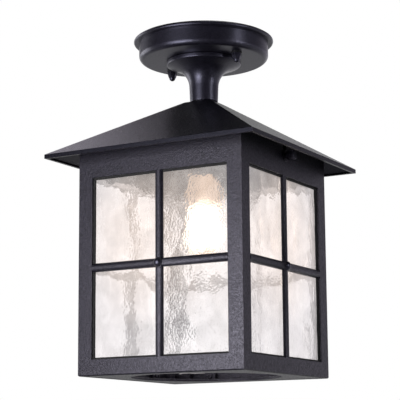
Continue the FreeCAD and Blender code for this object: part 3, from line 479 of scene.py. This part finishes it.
def make_bars(side, quarter):
    """The cross of a window's bars, its four half-round arms mitred at the middle."""
    turn = quarter_turn(quarter)
    angles = [FULL_TURN / 2 * (step / BAR_STEPS - 0.5) for step in range(BAR_STEPS + 1)]
    points = []
    faces = []
    back = []
    for (right, rise), reach in ARMS:
        first = len(points)
        for angle in angles:
            off, depth = BAR_HALF * math.sin(angle), GLASS_OUTER + BAR_PROUD * math.cos(angle)
            for along in (abs(off), reach):
                across, up = right * along - rise * off, CROSSING_LEVEL + rise * along + right * off
                points.append(turn @ Vector((across, -depth, up)))
        faces += quads(BAR_STEPS + 1, 2, first)
        faces.append([first + 2 * step + 1 for step in range(BAR_STEPS + 1)])
        back += [first + 1, first + 2 * BAR_STEPS + 1, first + 2 * BAR_STEPS]
    faces.append(back)
    add_piece(f"{side}_bar_skin", points, faces, "powder_coat", "lantern", crease=BAR_CREASE)


def make_boss(side, quarter):
    """A round button over the crossing of a window's bars."""
    turn = quarter_turn(quarter)
    points = []
    for radius, proud in BOSS_SECTION:
        for step in range(BOSS_STEPS):
            angle = FULL_TURN * step / BOSS_STEPS
            across, up = radius * math.cos(angle), CROSSING_LEVEL + radius * math.sin(angle)
            points.append(turn @ Vector((across, -LANTERN_FACE - proud, up)))
    last = (len(BOSS_SECTION) - 1) * BOSS_STEPS
    faces = quads(len(BOSS_SECTION), BOSS_STEPS, 0, closed=True)
    faces += [list(range(BOSS_STEPS)), list(range(last, last + BOSS_STEPS))]
    add_piece(f"{side}_crossing_boss", points, faces, "powder_coat", "lantern", finish=SATIN)


# Threads, each by the radius of its crest, its depth, its wall, its foot and its top

THREAD_PITCH = 3.62
THREAD_STEPS = 72
THREAD_SLICES = 9
LAMP_THREAD = (13.2, 0.9, 0.3, LAMP_NECK, -112.6)
HOLDER_THREAD = (14.2, 0.55, 0.25, -127.9, -100.9)


def threaded_tube(name, sizes, material, body, replaced):
    """A pressed tube with a round thread that fades out at both ends."""
    crest, depth, wall, low, high = sizes
    rows = round((high - low) / THREAD_PITCH * THREAD_SLICES) + 1
    points = []
    for inside in (0, 1):
        for row in range(rows):
            up = low + (high - low) * row / (rows - 1)
            fade = min(min(up - low, high - up) / THREAD_PITCH, 1)
            for step in range(THREAD_STEPS):
                turn = FULL_TURN * step / THREAD_STEPS
                wave = 0.5 - 0.5 * math.cos(FULL_TURN * up / THREAD_PITCH - turn)
                radius = crest - depth * wave * fade - inside * wall
                points.append((radius * math.cos(turn), radius * math.sin(turn), up))
    inner = rows * THREAD_STEPS
    faces = quads(rows, THREAD_STEPS, 0, closed=True) + quads(rows, THREAD_STEPS, inner, closed=True)
    last = (rows - 1) * THREAD_STEPS
    for step in range(THREAD_STEPS):
        after = (step + 1) % THREAD_STEPS
        faces.append([inner + step, inner + after, after, step])
        faces.append([last + step, last + after, inner + last + after, inner + last + step])
    add_piece(name, points, faces, material, body, [replaced])


# Cross-recessed screws, their heads by radius and height from the top down

SCREW_STEPS = 24
SCREW_CREASE = math.radians(40)
CROSS_REACH, CROSS_HALF, CROSS_DEPTH = 1.5, 0.38, 0.9
PAN_HEAD = ((1.9, 1.8), (2.45, 1.55), (2.72, 1.1), (2.8, 0.5), (2.8, 0))
SUNK_HEAD = ((2.7, 0), (2.8, -0.1))
SHANK_RADIUS, SHANK_POINT = 1.45, 0.8
SCREW_BITE = 1.7
CLIP_ACROSS, CLIP_THICKNESS, CLIP_CLEAR = 40, 1.0, 3.6
CLIP_LEVELS = (GLASS_LOW - CLIP_CLEAR, GLASS_HIGH + CLIP_CLEAR)
CLEAT_ACROSS, CLEAT_THICKNESS, CLEAT_LEVEL = 69, 2.0, -126.2
BASE_ACROSS, BASE_INSET, BASE_LEVEL, BASE_SHANK = 66, 3.5, -322.9, 8.0


def cross_outline():
    """The corners of a cross, in order round it."""
    arm = [(CROSS_REACH, -CROSS_HALF), (CROSS_REACH, CROSS_HALF), (CROSS_HALF, CROSS_HALF)]
    turns = [Matrix.Rotation(quarter * FULL_TURN / 4, 2) for quarter in range(4)]
    return [turn @ Vector(corner) for turn in turns for corner in arm]


def stitch(first, second, turns):
    """Triangles between two rings of points about one axis, where turns gives each point's angle."""
    faces = []
    done = passed = 0
    while done < len(first) or passed < len(second):
        here, there = first[done % len(first)], second[passed % len(second)]
        after_here, after_there = first[(done + 1) % len(first)], second[(passed + 1) % len(second)]
        turn_here = turns[after_here] + FULL_TURN * ((done + 1) // len(first))
        turn_there = turns[after_there] + FULL_TURN * ((passed + 1) // len(second))
        if passed >= len(second) or (done < len(first) and turn_here <= turn_there):
            faces.append([here, after_here, there])
            done += 1
        else:
            faces.append([here, after_there, there])
            passed += 1
    return faces


def screw_mesh(head, shank):
    """Points and faces of a screw along +Z, its head upward and its seat at 0."""
    cross = cross_outline()
    top = head[0][1]
    points = [Vector((x, y, top - CROSS_DEPTH)) for x, y in cross]
    points += [Vector((x, y, top)) for x, y in cross]
    count = len(cross)
    faces = [list(range(count))] + quads(2, count, 0, closed=True)
    profile = list(head) + [
        (SHANK_RADIUS, head[-1][1] - (head[-1][0] - SHANK_RADIUS) * (top <= 0)),
        (SHANK_RADIUS, -shank + SHANK_POINT),
        (SHANK_RADIUS - SHANK_POINT / 2, -shank),
    ]
    rings = len(points)
    for radius, up in profile:
        for step in range(SCREW_STEPS):
            turn = FULL_TURN * step / SCREW_STEPS
            points.append(Vector((radius * math.cos(turn), radius * math.sin(turn), up)))
    faces += quads(len(profile), SCREW_STEPS, rings, closed=True)
    faces.append(list(range(rings + (len(profile) - 1) * SCREW_STEPS, rings + len(profile) * SCREW_STEPS)))
    turns = {place: math.atan2(point.y, point.x) % FULL_TURN for place, point in enumerate(points)}
    inner = sorted(range(count, 2 * count), key=turns.get)
    outer = list(range(rings, rings + SCREW_STEPS))
    return points, faces + stitch(inner, outer, turns)


def make_screws(name, head, shank, spots):
    """A screw at each spot, given for one side of the lantern and turned to all four."""
    one, its_faces = screw_mesh(head, shank)
    points = []
    faces = []
    for quarter in range(4):
        for spot in spots:
            put = quarter_turn(quarter).to_4x4() @ spot
            faces += [[len(points) + corner for corner in face] for face in its_faces]
            points += [put @ point for point in one]
    crossed = name.replace("screws", "cross_screws")
    add_piece(crossed, points, faces, "black_screws", "lantern", [name], SCREW_CREASE)


def facing_in(across, depth, up):
    """A spot on the front side for a screw whose head looks into the lantern."""
    return Matrix.Translation((across, -depth, up)) @ Matrix.Rotation(-FULL_TURN / 4, 4, "X")


def facing_down(across, depth, up):
    return Matrix.Translation((across, -depth, up)) @ Matrix.Rotation(FULL_TURN / 2, 4, "X")


def make_clip_screws():
    seat = GLASS_INNER - CLIP_THICKNESS
    spots = [facing_in(across, seat, up) for across in (-CLIP_ACROSS, CLIP_ACROSS) for up in CLIP_LEVELS]
    make_screws("glass_clip_screws", PAN_HEAD, CLIP_THICKNESS + GLASS_THICKNESS + SCREW_BITE, spots)


def make_cleat_screws():
    seat = GLASS_INNER - CLEAT_THICKNESS
    spots = [facing_in(across, seat, CLEAT_LEVEL) for across in (-CLEAT_ACROSS, CLEAT_ACROSS)]
    make_screws("cleat_screws", PAN_HEAD, CLEAT_THICKNESS + GLASS_THICKNESS + SCREW_BITE, spots)


def make_base_screws():
    depth = GLASS_OUTER - BASE_INSET
    spots = [facing_down(across, depth, BASE_LEVEL) for across in (-BASE_ACROSS, BASE_ACROSS)]
    make_screws("base_plate_screws", SUNK_HEAD, BASE_SHANK, spots)


# Camera

CAMERA_PLACE = (0.6591, -1.1627, -0.3977)
CAMERA_YAW = 0.5191
CAMERA_PITCH = math.radians(10.24)
CAMERA_ROLL = math.radians(-0.420)
CAMERA_LENS = 129.38
CAMERA_SENSOR = 36


def make_camera():
    ahead = Vector((
        -math.sin(CAMERA_YAW) * math.cos(CAMERA_PITCH),
        math.cos(CAMERA_YAW) * math.cos(CAMERA_PITCH),
        math.sin(CAMERA_PITCH),
    ))
    level = Vector((math.cos(CAMERA_YAW), math.sin(CAMERA_YAW), 0))
    above = level.cross(ahead)
    right = level * math.cos(CAMERA_ROLL) + above * math.sin(CAMERA_ROLL)
    up = above * math.cos(CAMERA_ROLL) - level * math.sin(CAMERA_ROLL)
    lens = bpy.data.cameras.new("camera")
    lens.lens = CAMERA_LENS
    lens.sensor_width = CAMERA_SENSOR
    camera = bpy.data.objects.new("camera", lens)
    camera.matrix_world = Matrix.Translation(CAMERA_PLACE) @ Matrix((right, up, -ahead)).transposed().to_4x4()
    scene.collection.objects.link(camera)
    scene.camera = camera


# World: greys of the room from straight down to overhead, less light in front, and the backdrop's direction

ROOM_LEVELS = ((0.0, 0.5), (0.5, 0.6), (0.58, 0.36), (0.7, 0.05), (0.9, 0.02))
ROOM_TINT = (0.96, 0.91, 1.05)
ROOM_FRONT = 0.3
ROOM_DIM_END, ROOM_FULL_START = -0.2, 0.7
BACKDROP_WAY = (-0.5, 0.866, 0)
BACKDROP_EDGE, BACKDROP_FULL = 0.84, 0.95


def make_world():
    """White behind the object, and a soft room for everything else that is darker overhead and in front."""
    world = bpy.data.worlds.new("studio")
    world.use_nodes = True
    sky = NodeTree(world.node_tree)
    way = sky.add("ShaderNodeTexCoord").outputs["Generated"]
    split = sky.add("ShaderNodeSeparateXYZ", {0: way}).outputs
    height = sky.spread(split["Z"], 0, 1, -1, 1)
    tone = sky.ramp(height, [(position, scaled(ROOM_TINT, grey)) for position, grey in ROOM_LEVELS])
    depth = sky.spread(split["Y"], ROOM_FRONT, 1, ROOM_DIM_END, ROOM_FULL_START)
    room = sky.add("ShaderNodeVectorMath", {0: tone, "Scale": depth}, operation="SCALE").outputs[0]
    behind = sky.add("ShaderNodeVectorMath", {0: way, 1: BACKDROP_WAY}, operation="DOT_PRODUCT")
    path = sky.add("ShaderNodeLightPath").outputs
    zone = sky.spread(behind.outputs["Value"], 0, 1, BACKDROP_EDGE, BACKDROP_FULL)
    mirrored = sky.combine("MULTIPLY", path["Is Glossy Ray"], zone)
    straight = sky.combine("MAXIMUM", path["Is Camera Ray"], path["Is Transmission Ray"])
    shown = sky.combine("MAXIMUM", straight, mirrored)
    mix = sky.add("ShaderNodeMix", {"Factor": shown, "A": room, "B": WHITE}, data_type="RGBA")
    sky.feed(sky.tree.nodes["Background"].inputs["Color"], mix.outputs["Result"])
    scene.world = world


# Soft boxes, each by azimuth, elevation, distance, size, power and colour

PLAIN = (1, 1, 1)
LILAC = (0.94, 0.88, 1.0)
LIGHT_TARGET = (0, 0, -0.17)
LIGHTS = {
    "key": (-13, -6, 1.05, (0.7, 0.8), 6.8, PLAIN),
    "low": (-9, -12, 0.45, (0.22, 0.22), 0.8, PLAIN),
    "side": (92, 5, 1.6, (0.2, 0.9), 5, PLAIN),
    "roof": (-121, 38, 1.3, (0.44, 0.5), 1.0, LILAC),
    "left": (-96, 0, 1.4, (0.7, 0.9), 5, PLAIN),
    "rear": (176, 8, 1.5, (1.3, 1.2), 1.1, LILAC),
    "top": (170, 78, 1.4, (0.8, 0.8), 4, PLAIN),
}


def make_light(name, azimuth, elevation, distance, size, power, colour):
    """A soft box that looks at the lantern's middle. Azimuth 0 is in front of the front face."""
    turn, rise = math.radians(azimuth), math.radians(elevation)
    away = Vector((math.sin(turn) * math.cos(rise), -math.cos(turn) * math.cos(rise), math.sin(rise)))
    light = bpy.data.lights.new(name, "AREA")
    light.shape = "RECTANGLE"
    light.size, light.size_y = size
    light.energy = power
    light.color = colour
    lamp = bpy.data.objects.new(name, light)
    lamp.location = Vector(LIGHT_TARGET) + away * distance
    lamp.rotation_euler = away.to_track_quat("Z", "Y").to_euler()
    lamp.visible_camera = False
    lamp.visible_transmission = False
    scene.collection.objects.link(lamp)


# Floor

FLOOR_LEVEL = -1.9
FLOOR_HALF = 20.0
FLOOR_GLOW = 0.86
FLOOR_FRONT, FLOOR_BACK = 0.05, 0.4
FRONT_END, BACK_START = -0.5, 2.0


def floor_paper():
    """Pale paper that shows near white to the camera and through glass, and dimmer in front to mirrors."""
    paper = Surface("floor_paper", Roughness=0.8, Emission_Color=WHITE)
    fibre = paper.noise(14, 3)
    path = paper.add("ShaderNodeLightPath").outputs
    depth = paper.add("ShaderNodeSeparateXYZ", {"Vector": paper.place}).outputs["Y"]
    seen = paper.combine("MAXIMUM", path["Is Camera Ray"], path["Is Transmission Ray"])
    level = paper.spread(depth, FLOOR_FRONT, FLOOR_BACK, FRONT_END, BACK_START)
    mirrored = paper.combine("MULTIPLY", path["Is Glossy Ray"], level)
    return paper.set(
        Base_Color=paper.ramp(fibre, [(0.3, (0.83, 0.83, 0.83)), (0.7, (0.86, 0.86, 0.86))]),
        Emission_Strength=paper.combine("ADD", paper.spread(seen, 0, FLOOR_GLOW), mirrored),
    ).material


def make_floor():
    mesh = bpy.data.meshes.new("floor")
    corners = ((-1, -1), (1, -1), (1, 1), (-1, 1))
    mesh.from_pydata([(x * FLOOR_HALF, y * FLOOR_HALF, FLOOR_LEVEL) for x, y in corners], [], [(0, 1, 2, 3)])
    mesh.materials.append(floor_paper())
    floor = bpy.data.objects.new("floor", mesh)
    scene.collection.objects.link(floor)


dress_nodes()
soften_edges()
for window, quarter_turns in QUARTERS.items():
    make_glass(window, quarter_turns)
    make_dark_ring(window, quarter_turns)
    make_bars(window, quarter_turns)
    make_boss(window, quarter_turns)
threaded_tube("lamp_thread", LAMP_THREAD, "lamp_metal", "lamp", "lamp_cap")
threaded_tube("holder_thread", HOLDER_THREAD, "brass", "ceiling_fitting", "lampholder_screw_shell")
make_clip_screws()
make_cleat_screws()
make_base_screws()
make_camera()
make_world()
for light_name, settings in LIGHTS.items():
    make_light(light_name, *settings)
make_floor()
scene.view_settings.view_transform = "Standard"
